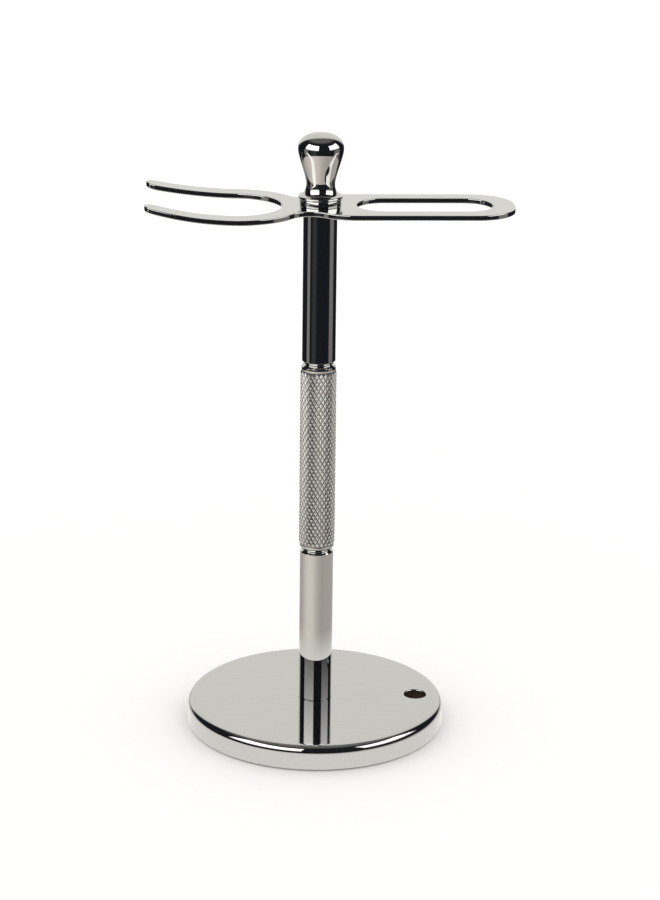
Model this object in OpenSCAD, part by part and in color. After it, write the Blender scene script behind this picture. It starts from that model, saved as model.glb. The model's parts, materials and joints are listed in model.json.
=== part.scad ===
// Razor stand: a weighted round base, a three-piece screwed column with a knurled grip,
// and a flat holder with a brush fork and a razor slot, clamped under a turned finial.
// Millimetres. Z is up, the column axis is Z, and the stand rests on the plane z = 0.
// The razor slot points along +X and the brush fork along -X.

/* [Base] */
// Diameter of the round base
base_d = 70; // [62:1:90]
// Height of the top of the base above the table
base_h = 7; // [6.2:0.1:10]
// Rounding of the cover's top edge
base_edge_r = 2.3; // [0.8:0.1:2.5]
// Sheet thickness of the chromed cover
cover_t = 0.8; // [0.5:0.1:1.2]
// Rounded lip where the cover turns down into the fixing hole
hole_lip_r = 0.4; // [0.2:0.1:0.5]
// Diameter of the fixing hole through the base
hole_d = 6; // [4:0.5:8]
// Distance of the fixing hole from the column axis
hole_offset = 27.6; // [18:0.2:29]
// Thickness of the foam pad under the base
pad_t = 1.2; // [0.8:0.1:1.6]
// How far the pad stands below the cover's rim
pad_proud = 0.5; // [0.3:0.1:0.7]
// Gap between the cover's wall and the pieces inside it
base_gap = 0.3; // [0.1:0.1:0.6]

/* [Base screw] */
// Diameter of the screw head
head_d = 8; // [7:0.5:9]
// Height of the screw head
head_h = 1.9; // [1.4:0.1:2.2]
// Width across flats of the hexagon socket
socket_w = 3; // [2:0.5:4]
// Length of the screw under its head
screw_len = 12; // [9:0.5:14]
// Outer diameter of the flat washer
washer_d = 9; // [8:0.5:10]
// Thickness of the flat washer
washer_t = 0.6; // [0.4:0.1:0.8]
// Outer diameter of the split lock washer
lock_d = 8.4; // [7.5:0.1:9]
// Thickness of the split lock washer
lock_t = 0.9; // [0.6:0.1:1]
// Width of the lock washer's split
lock_split = 0.8; // [0.5:0.1:1.5]
// Space round the washers in the counterbore
counterbore_gap = 0.6; // [0.3:0.1:1.5]
// Space between the screw head and the pad
head_gap = 0.2; // [0.1:0.1:0.4]

/* [Column] */
// Diameter of the two plain stems
stem_d = 9; // [8:0.5:14]
// Diameter of the plain bands at the ends of the grip
band_d = 9.2; // [8.2:0.1:14.4]
// Diameter over the knurling
grip_d = 9.6; // [8.6:0.1:15]
// Length of the plain band at the grip's upper end, with its chamfer
band_len = 1.8; // [1.2:0.1:5]
// Length of the plain band at the grip's lower end, with its chamfer
low_band_len = 1.3; // [1.2:0.1:5]
// Length of the lower stem
lower_len = 43.2; // [34:0.1:70]
// Length of the knurled grip
grip_len = 52.1; // [40:0.1:80]
// Length of the upper stem
upper_len = 41.3; // [36:0.1:70]
// Chamfer on the ends of the column pieces that meet each other or the plate
end_chamfer = 0.8; // [0.3:0.1:1.2]
// Chamfer on the foot of the lower stem
foot_chamfer = 0.2; // [0.1:0.1:0.8]

/* [Threads] */
// Outside diameter of all the threads
thread_d = 5; // [4:0.5:5.5]
// Radial gap between a thread and its hole
thread_gap = 0.05; // [0.02:0.01:0.09]
// Radial gap round the screw where it passes the weight and the cover
pass_gap = 0.25; // [0.1:0.05:0.5]
// Length of the studs that join the column pieces
joint_stud_len = 16; // [12:0.5:20]
// Length of the top stud inside the upper stem
stud_in_stem = 14; // [11:0.5:16]
// Length of the top stud inside the finial
stud_in_finial = 8.4; // [6:0.2:9]
// Chamfer on the ends of the studs and the screw
stud_chamfer = 0.6; // [0.2:0.1:1]
// Free depth left past the end of each stud
bore_spare = 1; // [0.5:0.1:2]

/* [Holder] */
// Thickness of the holder plate
plate_t = 1.4; // [1:0.1:2]
// Outer width of the razor loop
loop_w = 25; // [21:0.5:32]
// Distance from the axis to the tip of the razor loop
loop_tip = 50.8; // [44:0.2:66]
// Corner radius at the tip of the razor loop
loop_corner_r = 11; // [8:0.2:12.4]
// Distance from the axis to the centre of the loop's round inner end
loop_root = 9; // [8:0.2:11]
// Width of the razor slot
slot_w = 14.6; // [11:0.2:17]
// Distance from the axis to the near end of the razor slot
slot_start = 9.5; // [8.5:0.1:12]
// Width of the rim between the slot and the loop's tip
slot_tip_rim = 5.8; // [4:0.1:9]
// Radius of the brush gap
gap_r = 12.6; // [10:0.1:14]
// Width of the fork's prongs
prong_w = 5.8; // [4.5:0.1:7]
// Distance from the axis to the centre of the brush gap
gap_centre = 22.5; // [22:0.1:25]
// Distance from the axis to the tips of the prongs
prong_tip = 45.4; // [42:0.2:54]
// Distance from the axis at which the prongs begin to curve inwards
prong_bend_x = 27; // [25:0.5:32]
// Radius of the inward curve of the prongs, seen from above
prong_bend_r = 87; // [60:1:160]
// Distance from the axis at which the fork begins to curve upwards
rise_x = 20; // [18:0.5:30]
// Radius of the upward curve of the fork, seen from the side
rise_r = 103; // [80:1:200]
// Radius of the concave blend at the plate's waist
waist_r = 5.6; // [3:0.1:7]

/* [Finial] */
// Total height of the finial
finial_h = 19; // [16:0.1:28]
// Greatest diameter of the finial's ball
ball_d = 12.1; // [10.5:0.1:18]
// Height of the finial's widest level above the plate
ball_h = 14.8; // [12:0.1:20]
// Diameter of the finial's neck
neck_d = 7.6; // [7.4:0.1:9.5]
// Height of the neck above the plate
neck_h = 5.4; // [4.4:0.1:6.4]
// Diameter of the finial's drum, which clamps the plate
drum_d = 11; // [10:0.1:12]
// Diameter of the bead round the top of the drum
bead_d = 11.7; // [10.6:0.1:14]
// Height of the top of the bead above the plate
bead_h = 2.6; // [2:0.1:3.2]
// Thickness of the bead
bead_t = 0.9; // [0.6:0.1:1.3]

/* [Hidden] */
$fn = 96;
eps = 0.01;

// Heights of the joints along the axis
grip_z = base_h + lower_len;
upper_z = grip_z + grip_len;
plate_z = upper_z + upper_len;
finial_z = plate_z + plate_t;
weight_top = base_h - cover_t;
head_z = pad_t + head_gap;
seat_z = head_z + head_h;
counterbore_top = seat_z + lock_t + washer_t;

// Radii
thread_r = thread_d / 2;
bore_r = thread_r + thread_gap;
pass_r = thread_r + pass_gap;
inner_r = base_d / 2 - cover_t - base_gap;
counterbore_r = max(washer_d, lock_d, head_d) / 2 + counterbore_gap;
fork_r = gap_r + prong_w;
drill_cone = 0.6;
blend_bite = 0.01;

// How far the finial's taper runs upright at its neck and at its ball, as parts of its height
neck_pull = 0.26;
ball_pull = 0.24;

// Solid rod along Z with a chamfer on its foot and one on its top
module chamfered_rod(r, length, foot, top) {
    rotate_extrude()
        polygon([
            [0, 0], [r - foot, 0], [r, foot],
            [r, length - top], [r - top, length], [0, length]
        ]);
}

// Blind hole along +Z from z = 0 with a drill point at its end
module blind_bore(depth) {
    translate([0, 0, -eps]) cylinder(r = bore_r, h = depth + eps);
    translate([0, 0, depth - eps]) cylinder(r1 = bore_r, r2 = 0, h = bore_r * drill_cone);
}

// Vertical hole through the base, for a screw or a peg
module fixing_hole() {
    translate([hole_offset, 0, -1]) cylinder(d = hole_d, h = base_h + 2);
}

// Plain stem or grip blank with a blind bore in each end
module column_piece(length, bottom_depth, top_depth) {
    difference() {
        children();
        blind_bore(bottom_depth);
        translate([0, 0, length]) mirror([0, 0, 1]) blind_bore(top_depth);
    }
}

// Outer shape of the cover: a disc with a rounded top edge
module cover_profile(r, h, edge) {
    square([r - edge, h]);
    square([r, h - edge]);
    translate([r - edge, h - edge]) circle(r = edge);
}

module base_cover() {
    inner_edge = max(base_edge_r - cover_t, 0.1);
    color("gainsboro")
    difference() {
        translate([0, 0, pad_proud])
            rotate_extrude()
                cover_profile(base_d / 2, base_h - pad_proud, base_edge_r);
        rotate_extrude()
            cover_profile(base_d / 2 - cover_t, weight_top, inner_edge);
        translate([0, 0, weight_top - 1]) cylinder(r = pass_r, h = cover_t + 2);
        fixing_hole();
        translate([hole_offset, 0, base_h - hole_lip_r])
            rotate_extrude()
                difference() {
                    square([hole_d / 2 + hole_lip_r, hole_lip_r + 1]);
                    translate([hole_d / 2 + hole_lip_r, 0]) circle(r = hole_lip_r);
                }
    }
}

module base_weight() {
    edge = max(base_edge_r - cover_t, 0.1);
    color("saddlebrown")
    difference() {
        translate([0, 0, pad_t])
            rotate_extrude() cover_profile(inner_r, weight_top - pad_t, edge);
        translate([0, 0, pad_t - 1]) cylinder(r = counterbore_r, h = counterbore_top - pad_t + 1);
        cylinder(r = pass_r, h = base_h);
        fixing_hole();
    }
}

module base_pad() {
    color("dimgray")
    difference() {
        cylinder(r = inner_r, h = pad_t);
        fixing_hole();
    }
}

module base_screw() {
    color("darkgray")
    difference() {
        union() {
            translate([0, 0, head_z]) cylinder(d = head_d, h = head_h);
            translate([0, 0, head_z + head_h - stud_chamfer])
                chamfered_rod(thread_r, screw_len + stud_chamfer, stud_chamfer, stud_chamfer);
        }
        translate([0, 0, head_z - eps])
            cylinder(d = socket_w / cos(30), h = head_h * 0.6, $fn = 6);
    }
}

module base_lock_washer() {
    color("slategray")
    translate([0, 0, seat_z])
    difference() {
        cylinder(d = lock_d, h = lock_t);
        translate([0, 0, -1]) cylinder(r = pass_r, h = lock_t + 2);
        translate([0, -lock_split / 2, -1]) cube([lock_d, lock_split, lock_t + 2]);
    }
}

module base_washer() {
    color("silver")
    translate([0, 0, seat_z + lock_t])
    difference() {
        cylinder(d = washer_d, h = washer_t);
        translate([0, 0, -1]) cylinder(r = pass_r, h = washer_t + 2);
    }
}

module lower_stem() {
    screw_depth = seat_z + screw_len - base_h + bore_spare;
    color("lightgray")
    translate([0, 0, base_h])
        column_piece(lower_len, screw_depth, joint_stud_len / 2 + bore_spare)
            chamfered_rod(stem_d / 2, lower_len, foot_chamfer, end_chamfer);
}

module knurled_grip() {
    depth = joint_stud_len / 2 + bore_spare;
    step = (grip_d - band_d) / 2;
    color("darkgray")
    translate([0, 0, grip_z])
        column_piece(grip_len, depth, depth)
            union() {
                chamfered_rod(band_d / 2, grip_len, end_chamfer, end_chamfer);
                translate([0, 0, low_band_len])
                    chamfered_rod(grip_d / 2, grip_len - low_band_len - band_len, step, step);
            }
}

module upper_stem() {
    color("lightslategray")
    translate([0, 0, upper_z])
        column_piece(upper_len, joint_stud_len / 2 + bore_spare, stud_in_stem + bore_spare)
            chamfered_rod(stem_d / 2, upper_len, end_chamfer, end_chamfer);
}

// Headless stud centred on a joint between two column pieces
module joint_stud(z) {
    color("goldenrod")
    translate([0, 0, z - joint_stud_len / 2])
        chamfered_rod(thread_r, joint_stud_len, stud_chamfer, stud_chamfer);
}

module lower_joint_stud() { joint_stud(grip_z); }

module upper_joint_stud() { joint_stud(upper_z); }

module top_stud() {
    length = stud_in_stem + plate_t + stud_in_finial;
    color("goldenrod")
    translate([0, 0, plate_z - stud_in_stem])
        chamfered_rod(thread_r, length, stud_chamfer, stud_chamfer);
}

// One prong of the brush fork, on the +Y side, as a tall solid. Its round tip stands blend_bite
// proud of its sides, because curves that only touch leave slivers.
module prong(h) {
    mid_y = gap_r + prong_w / 2;
    tip_x = prong_tip - prong_w / 2;
    sweep = asin((tip_x - prong_bend_x) / prong_bend_r);
    translate([-prong_bend_x, gap_r, 0]) cube([prong_bend_x - gap_centre, prong_w, h]);
    translate([-prong_bend_x, mid_y - prong_bend_r, 0])
        rotate([0, 0, 90]) {
            rotate_extrude(angle = sweep)
                translate([prong_bend_r - prong_w / 2, 0]) square([prong_w, h]);
            rotate([0, 0, sweep])
                translate([prong_bend_r, 0, 0]) cylinder(r = prong_w / 2 + blend_bite, h = h);
        }
}

// Brush fork: half a ring round the brush gap, with two prongs
module fork(h) {
    difference() {
        intersection() {
            translate([-gap_centre, 0, 0]) cylinder(r = fork_r, h = h);
            translate([-gap_centre, -fork_r - 1, 0]) cube([fork_r + 1, 2 * fork_r + 2, h]);
        }
        translate([-gap_centre, 0, -1]) cylinder(r = gap_r, h = h + 2);
    }
    prong(h);
    mirror([0, 1, 0]) prong(h);
}

// Outer shape of the razor loop
module loop_outer(h) {
    corner_x = loop_tip - loop_corner_r;
    corner_y = loop_w / 2 - loop_corner_r;
    translate([loop_root, 0, 0]) cylinder(d = loop_w, h = h);
    translate([loop_root, -loop_w / 2, 0]) cube([corner_x - loop_root, loop_w, h]);
    translate([corner_x, -corner_y, 0]) cube([loop_corner_r, 2 * corner_y, h]);
    for (side = [-1, 1])
        translate([corner_x, side * corner_y, 0]) cylinder(r = loop_corner_r, h = h);
}

// Razor slot with round ends
module slot(h) {
    first = slot_start + slot_w / 2;
    last = loop_tip - slot_tip_rim - slot_w / 2;
    translate([first, -slot_w / 2, 0]) cube([last - first, slot_w, h]);
    for (x = [first, last])
        translate([x, 0, 0]) cylinder(d = slot_w, h = h);
}

// Web between the fork and the loop, with a concave blend of waist_r on each side.
// The blend circle bites slightly into both round outlines, so its centre follows from their radii.
module waist(h) {
    span = loop_root + gap_centre;
    to_fork = fork_r + waist_r - blend_bite;
    to_loop = loop_w / 2 + waist_r - blend_bite;
    along = (pow(to_fork, 2) - pow(to_loop, 2) + pow(span, 2)) / (2 * span);
    x = along - gap_centre;
    y = sqrt(pow(to_fork, 2) - pow(along, 2));
    fork_part = (fork_r - prong_w / 2) / to_fork;
    loop_part = (loop_w / 2 - prong_w / 2) / to_loop;
    fork_root = [-gap_centre + along * fork_part, y * fork_part];
    loop_side = [loop_root + (x - loop_root) * loop_part, y * loop_part];
    difference() {
        linear_extrude(height = h)
            polygon([
                fork_root, [x, y], loop_side,
                [loop_side[0], -loop_side[1]], [x, -y], [fork_root[0], -fork_root[1]]
            ]);
        for (side = [-1, 1])
            translate([x, side * y, -1]) cylinder(r = waist_r, h = h + 2);
    }
}

// Side view of the plate: flat, then curving upwards under the fork
module plate_slab() {
    half_w = 2 * fork_r;
    sweep = asin((prong_tip + 1 - rise_x) / rise_r);
    translate([-rise_x, -half_w, 0]) cube([rise_x + loop_tip + 1, 2 * half_w, plate_t]);
    translate([-rise_x, half_w, rise_r + plate_t])
        rotate([90, 0, 0]) rotate([0, 0, -90 - sweep])
            rotate_extrude(angle = sweep)
                translate([rise_r, 0]) square([plate_t, 2 * half_w]);
}

module holder_plate() {
    tall = prong_tip / 2;
    color("lightsteelblue")
    translate([0, 0, plate_z])
    difference() {
        intersection() {
            plate_slab();
            translate([0, 0, -1])
                difference() {
                    union() {
                        fork(tall);
                        loop_outer(tall);
                        waist(tall);
                    }
                    translate([0, 0, -1]) slot(tall + 2);
                }
        }
        translate([0, 0, -1]) cylinder(r = bore_r, h = plate_t + 2);
    }
}

// Point at u (0 to 1) on a taper from radius r0 to r1 over the height h, upright at both ends
function taper_point(u, r0, r1, h) = [
    r0 + (r1 - r0) * u * u * (3 - 2 * u),
    h * (3 * (1 - u) * (1 - u) * u * neck_pull + 3 * (1 - u) * u * u * (1 - ball_pull) + u * u * u)
];

// Right-hand outline of the finial, from its foot to its top
function finial_outline() =
    let (
        ball_r = ball_d / 2,
        neck_r = neck_d / 2,
        drum_r = drum_d / 2,
        bead_r = bead_d / 2,
        cap_h = finial_h - ball_h,
        cove_w = bead_r - 0.15 - neck_r,
        foot = [[drum_r - 0.15, 0], [drum_r, 0.15], [drum_r, bead_h - bead_t - 0.2]],
        bead = [for (a = [-90 : 22.5 : 90])
            [bead_r - bead_t / 2 + bead_t / 2 * cos(a), bead_h - bead_t / 2 + bead_t / 2 * sin(a)]],
        cove = [for (a = [0 : 10 : 90])
            [neck_r + cove_w * (1 - sin(a)), neck_h - (neck_h - bead_h) * cos(a)]],
        body = [for (u = [0.06 : 0.06 : 0.96])
            taper_point(u, neck_r, ball_r, ball_h - neck_h) + [0, neck_h]],
        cap = [for (a = [0 : 6 : 84])
            [ball_r * pow(cos(a), 0.91), ball_h + cap_h * pow(sin(a), 0.91)]]
    )
    concat([[0, 0]], foot, bead, cove, body, cap, [[0, finial_h]]);

module finial() {
    depth = stud_in_finial + bore_spare / 2;
    color("whitesmoke")
    translate([0, 0, finial_z])
    difference() {
        rotate_extrude() polygon(finial_outline());
        blind_bore(depth);
    }
}

base_cover();
base_weight();
base_pad();
base_screw();
base_washer();
base_lock_washer();
lower_stem();
lower_joint_stud();
knurled_grip();
upper_joint_stud();
upper_stem();
top_stud();
holder_plate();
finial();
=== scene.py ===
# %% [markdown]
# # A chromed razor and brush stand
#
# The stand is a small piece of turned and pressed metalwork: a weighted base under a drawn chromed cover, a column
# screwed together from three turned pieces, one flat holder plate, and a turned finial that clamps the plate.
# The exact sizes come from a CAD model, which this script loads as its frame. Blender then gives each visible
# piece the soft edges, knurling, threads and chrome that the CAD model leaves out.

# %% Load the CAD frame
import json
import math

import bmesh
import bpy
from mathutils import Matrix, Vector


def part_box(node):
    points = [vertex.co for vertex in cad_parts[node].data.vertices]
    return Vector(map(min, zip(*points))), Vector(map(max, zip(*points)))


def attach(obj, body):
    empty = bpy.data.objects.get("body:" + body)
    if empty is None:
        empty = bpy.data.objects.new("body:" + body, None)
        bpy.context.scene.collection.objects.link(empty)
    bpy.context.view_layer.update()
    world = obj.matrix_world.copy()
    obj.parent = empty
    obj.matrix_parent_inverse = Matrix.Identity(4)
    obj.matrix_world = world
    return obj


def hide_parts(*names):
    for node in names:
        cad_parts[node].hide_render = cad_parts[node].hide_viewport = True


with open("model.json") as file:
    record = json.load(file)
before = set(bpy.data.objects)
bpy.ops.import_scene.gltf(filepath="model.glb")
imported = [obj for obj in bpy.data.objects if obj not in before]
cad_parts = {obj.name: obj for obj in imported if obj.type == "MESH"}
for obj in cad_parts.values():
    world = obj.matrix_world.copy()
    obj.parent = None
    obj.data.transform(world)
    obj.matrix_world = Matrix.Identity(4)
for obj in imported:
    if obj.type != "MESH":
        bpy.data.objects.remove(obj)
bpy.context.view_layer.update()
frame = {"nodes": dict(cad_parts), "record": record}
nodes = frame["nodes"]

# %% [markdown]
# ## Measures
#
# Blender works in metres here, and a metalworker thinks in millimetres, so every length below is written as a
# number times `mm`. Where a piece stands, and how big it is, comes from the box of its CAD node, so that the
# polished piece always fits the one it stands for. Each turned piece lies on the Z axis.

# %% Read the places of the turned pieces
mm = 0.001


def turned_box(node):
    """Radius, lowest and highest level of a CAD piece that was turned about the Z axis."""
    low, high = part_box(node)
    return (high.y - low.y) / 2, low.z, high.z


for name in ("base_cover", "lower_stem", "knurled_grip", "upper_stem", "finial"):
    radius, bottom, top = turned_box(name)
    print(f"{name}: radius {radius / mm:.2f} mm, from {bottom / mm:.2f} to {top / mm:.2f} mm")

# %% [markdown]
# ## Turning on a lathe
#
# Nearly all of the stand is turned: a tool follows an outline while the metal spins. The script works the same way.
# An outline is a list of (radius, height) points, and `turned` spins it about the Z axis into rings of faces. A
# Screw modifier would do that too, but making the rings by hand lets an outline start and end on the axis, where
# a ring shrinks to one point.
#
# Real metal has no perfectly sharp edge: each one is broken a little by polishing, and that small round catches a
# thin bright line of light. `soft_corners` replaces each corner of an outline by such a round.

# %% Outline helpers
def arc_points(centre, radius, start, end, steps):
    """Points on an arc, with angles in degrees."""
    turns = [math.radians(start + (end - start) * i / steps) for i in range(steps + 1)]
    return [(centre[0] + radius * math.cos(t), centre[1] + radius * math.sin(t)) for t in turns]


def soft_corners(corners, steps=6):
    """Rounds each (r, z, rounding) corner of a closed outline with a short arc."""
    points = []
    for i, (r, z, rounding) in enumerate(corners):
        if rounding <= 0:
            points.append((r, z))
            continue
        here = Vector((r, z))
        back = (Vector(corners[i - 1][:2]) - here).normalized()
        on = (Vector(corners[(i + 1) % len(corners)][:2]) - here).normalized()
        half = back.angle(on) / 2
        reach = rounding / math.tan(half)
        centre = here + (back + on).normalized() * (rounding / math.sin(half))
        first, last = here + back * reach - centre, here + on * reach - centre
        sweep = first.angle_signed(last)
        for k in range(steps + 1):
            points.append(tuple(centre + Matrix.Rotation(-sweep * k / steps, 2) @ first))
    return points


# %% The lathe
def new_piece(name, verts, faces):
    """A mesh object with its faces turned outwards."""
    mesh = bpy.data.meshes.new(name)
    mesh.from_pydata(verts, [], faces)
    work = bmesh.new()
    work.from_mesh(mesh)
    bmesh.ops.recalc_face_normals(work, faces=work.faces)
    work.to_mesh(mesh)
    work.free()
    piece = bpy.data.objects.new(name, mesh)
    bpy.context.scene.collection.objects.link(piece)
    return piece


def turned(name, outline, steps=192):
    """Spins a closed (radius, height) outline about the Z axis."""
    verts, rings = [], []
    for r, z in outline:
        if r < 1e-7:
            rings.append([len(verts)] * steps)
            verts.append((0, 0, z))
            continue
        rings.append(list(range(len(verts), len(verts) + steps)))
        for k in range(steps):
            t = 2 * math.pi * k / steps
            verts.append((r * math.cos(t), r * math.sin(t), z))
    faces = []
    for i in range(len(rings)):
        near, far = rings[i], rings[(i + 1) % len(rings)]
        for k in range(steps):
            face = [near[k], near[(k + 1) % steps], far[(k + 1) % steps], far[k]]
            face = [v for j, v in enumerate(face) if v not in face[:j]]
            if len(face) > 2:
                faces.append(face)
    return new_piece(name, verts, faces)


# %% [markdown]
# ## Clean reflections
#
# Chrome shows every small mistake in a surface. Blender shades a smooth mesh with the average of the directions
# of the faces round each corner, which bends the reflection where a big flat face meets a small round. The
# Weighted Normal modifier lets the bigger face win, so flats stay flat up to their very edge.

# %% Shading and placing helpers
def polish_shading(piece, sharp_degrees=35):
    """Smooth shading that keeps true corners sharp and flats flat."""
    piece.data.shade_smooth()
    piece.data.set_sharp_from_angle(angle=math.radians(sharp_degrees))
    weighted = piece.modifiers.new("Flat faces win", "WEIGHTED_NORMAL")
    weighted.keep_sharp = True
    return piece


def place(piece, node, body, material):
    """Puts a piece in the stand: what it stands for, what it moves with, and its finish."""
    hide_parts(node)
    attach(piece, body)
    piece.data.materials.clear()
    piece.data.materials.append(material)
    print(f"{piece.name}: {len(piece.data.polygons)} faces, stands for {node}, moves with {body}")
    return piece


# %% [markdown]
# ## Finishes: marks that several metals share
#
# Polished chrome is never one even value. Polishing leaves very fine lines, hands and drying water leave faint
# patches that are a little duller, and both vary slowly over the surface. Several of the metals below need such
# marks at different strengths, so they are made once as node groups. A group gives out only values and colours.
# The Principled shader stays in each material, where the constant values are set on its own sockets.

# %% Group: fine polishing lines and dull patches
def new_group(name, inputs, outputs):
    """An empty shader node group with float inputs and named outputs."""
    group = bpy.data.node_groups.new(name, "ShaderNodeTree")
    for title, value in inputs:
        socket = group.interface.new_socket(title, in_out="INPUT", socket_type="NodeSocketFloat")
        socket.default_value = value
    for title, kind in outputs:
        group.interface.new_socket(title, in_out="OUTPUT", socket_type=kind)
    return group, group.nodes.new("NodeGroupInput"), group.nodes.new("NodeGroupOutput")


def add_node(tree, kind, **settings):
    """A node with its settings, and with inputs given by name as in_Scale=5."""
    node = tree.nodes.new(kind)
    for key, value in settings.items():
        if key.startswith("in_"):
            node.inputs[key[3:].replace("_", " ")].default_value = value
        else:
            setattr(node, key, value)
    return node


def math_node(tree, operation, first, second=None):
    """A Math node whose inputs are sockets or numbers."""
    node = tree.nodes.new("ShaderNodeMath")
    node.operation = operation
    for socket, value in zip(node.inputs, (first, second)):
        if isinstance(value, bpy.types.NodeSocket):
            tree.links.new(value, socket)
        elif value is not None:
            socket.default_value = value
    return node.outputs[0]


def new_material(name):
    """A material and its node tree."""
    material = bpy.data.materials.new(name)
    material.use_nodes = True
    return material, material.node_tree


def polish_marks_group():
    """Fine lines along one direction, and larger soft patches."""
    group, given, out = new_group(
        "polish_marks",
        [("Line Scale", 900.0), ("Line Stretch", 0.03), ("Patch Scale", 60.0)],
        [("Lines", "NodeSocketFloat"), ("Patches", "NodeSocketFloat")],
    )
    where = add_node(group, "ShaderNodeTexCoord")
    stretch = add_node(group, "ShaderNodeCombineXYZ", in_Y=1.0, in_Z=1.0)
    group.links.new(given.outputs["Line Stretch"], stretch.inputs["X"])
    along = add_node(group, "ShaderNodeVectorMath", operation="MULTIPLY")
    group.links.new(where.outputs["Object"], along.inputs[0])
    group.links.new(stretch.outputs[0], along.inputs[1])
    lines = add_node(group, "ShaderNodeTexNoise", in_Detail=4.0, in_Roughness=0.6)
    group.links.new(along.outputs[0], lines.inputs["Vector"])
    group.links.new(given.outputs["Line Scale"], lines.inputs["Scale"])
    patches = add_node(group, "ShaderNodeTexNoise", in_Detail=3.0, in_Roughness=0.5)
    group.links.new(where.outputs["Object"], patches.inputs["Vector"])
    group.links.new(given.outputs["Patch Scale"], patches.inputs["Scale"])
    group.links.new(lines.outputs["Fac"], out.inputs["Lines"])
    group.links.new(patches.outputs["Fac"], out.inputs["Patches"])
    return group


polish_marks = polish_marks_group()
print("group:", polish_marks.name)

# %% [markdown]
# ## Chrome
#
# Chromium reflects a little more than half of the light that meets it, almost evenly over the colours, with a
# slight cool or warm cast from the room. So the base colour is a middle grey and not white: pure white would look
# like silver. The lines and patches move the roughness and the colour by a few hundredths, and a very weak bump
# keeps the long reflections from looking like perfect glass.

# %% Chrome materials
def metal(name, colour, dark, rough, rough_spread, line_scale, stretch, patch_scale, bump):
    """A metal whose colour, roughness and surface vary with polishing lines and dull patches."""
    material, tree = new_material(name)
    shader = tree.nodes["Principled BSDF"]
    shader.inputs["Metallic"].default_value = 1.0
    marks = add_node(tree, "ShaderNodeGroup", node_tree=polish_marks, in_Line_Scale=line_scale,
                     in_Line_Stretch=stretch, in_Patch_Scale=patch_scale)
    tone = add_node(tree, "ShaderNodeMix", data_type="RGBA", in_A=(*dark, 1), in_B=(*colour, 1))
    tree.links.new(marks.outputs["Lines"], tone.inputs["Factor"])
    tree.links.new(tone.outputs["Result"], shader.inputs["Base Color"])
    mixed = math_node(tree, "MULTIPLY", marks.outputs["Lines"], marks.outputs["Patches"])
    dull = add_node(tree, "ShaderNodeMapRange", in_From_Min=0.1, in_From_Max=0.5,
                    in_To_Min=rough, in_To_Max=rough + rough_spread)
    tree.links.new(mixed, dull.inputs["Value"])
    tree.links.new(dull.outputs["Result"], shader.inputs["Roughness"])
    relief = add_node(tree, "ShaderNodeBump", in_Strength=1.0, in_Distance=bump)
    tree.links.new(marks.outputs["Lines"], relief.inputs["Height"])
    tree.links.new(relief.outputs["Normal"], shader.inputs["Normal"])
    return material


plain_chrome, plain_rough = (0.60, 0.595, 0.575), 0.04
chrome = metal("chrome", plain_chrome, dark=(0.56, 0.555, 0.54), rough=0.015, rough_spread=0.03,
               line_scale=500, stretch=1.0, patch_scale=80, bump=2e-7)
chrome_base = metal("chrome_base", (0.60, 0.595, 0.58), dark=(0.55, 0.545, 0.53), rough=0.03, rough_spread=0.06,
                    line_scale=1500, stretch=0.04, patch_scale=60, bump=5e-7)
chrome_plate = metal("chrome_plate", (0.63, 0.63, 0.61), dark=(0.55, 0.55, 0.53), rough=0.03, rough_spread=0.06,
                     line_scale=2600, stretch=0.12, patch_scale=90, bump=3e-7)
print("chrome finishes:", chrome.name, chrome_base.name, chrome_plate.name)

# %% [markdown]
# ## The base cover
#
# The cover is a shallow dish drawn from sheet, turned upside down over the weight: a flat top, a generous round
# at its edge, and a short wall. Near the rim is a round hole whose edge is rolled over, so that it doesn't show
# the sheet's cut edge. The dish is turned from one outline, its wall thickness included. The hole is off the axis,
# so it is cut afterwards with a Boolean modifier by a cutter that flares at its top like the real punch.

# %% Base cover
cover_r, rim_z, cover_top = turned_box("base_cover")
cover_round, sheet_t, rim_edge = 2.3 * mm, 0.8 * mm, 0.15 * mm
screw_pass_r = 2.75 * mm
hole = next(m for m in frame["record"]["mounts"] if m["name"] == "fixing_hole")
hole_x, hole_r = hole["pos_m"][0], hole["dims"]["r_mm"] * mm
hole_lip = 0.4 * mm

cover_outline = soft_corners([
    (screw_pass_r, cover_top, 0),
    (cover_r, cover_top, cover_round),
    (cover_r, rim_z, rim_edge),
    (cover_r - sheet_t, rim_z, rim_edge),
    (cover_r - sheet_t, cover_top - sheet_t, cover_round - sheet_t),
    (screw_pass_r, cover_top - sheet_t, 0),
], steps=16)
cover = turned("base_cover_polished", cover_outline, steps=256)
print("cover radius", round(cover_r / mm, 2), "mm, hole radius", round(hole_r / mm, 2), "mm")

# %% Cut the hole with its rolled edge
past = 1 * mm  # how far a cutter reaches beyond what it cuts


def cut_hole(piece, cutter_outline, x):
    """Cuts a turned shape out of a piece, at a distance x from the axis."""
    cutter = turned(piece.name + "_cutter", cutter_outline, steps=96)
    cutter.location.x = x
    cut = piece.modifiers.new("Hole", "BOOLEAN")
    cut.operation, cut.solver, cut.object = "DIFFERENCE", "EXACT", cutter
    bpy.context.view_layer.update()
    whole = bpy.context.evaluated_depsgraph_get()
    cut_mesh = bpy.data.meshes.new_from_object(piece.evaluated_get(whole))
    piece.modifiers.clear()
    piece.data = cut_mesh
    bpy.data.objects.remove(cutter)
    return piece


lip_flare = arc_points((hole_r + hole_lip, cover_top - hole_lip), hole_lip, 180, 90, 8)
cut_hole(cover, [
    (0, -past), (hole_r, -past), *lip_flare,
    (hole_r + hole_lip, cover_top + past), (0, cover_top + past)], hole_x)
polish_shading(cover)
place(cover, "base_cover", "stand", chrome_base)

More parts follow.
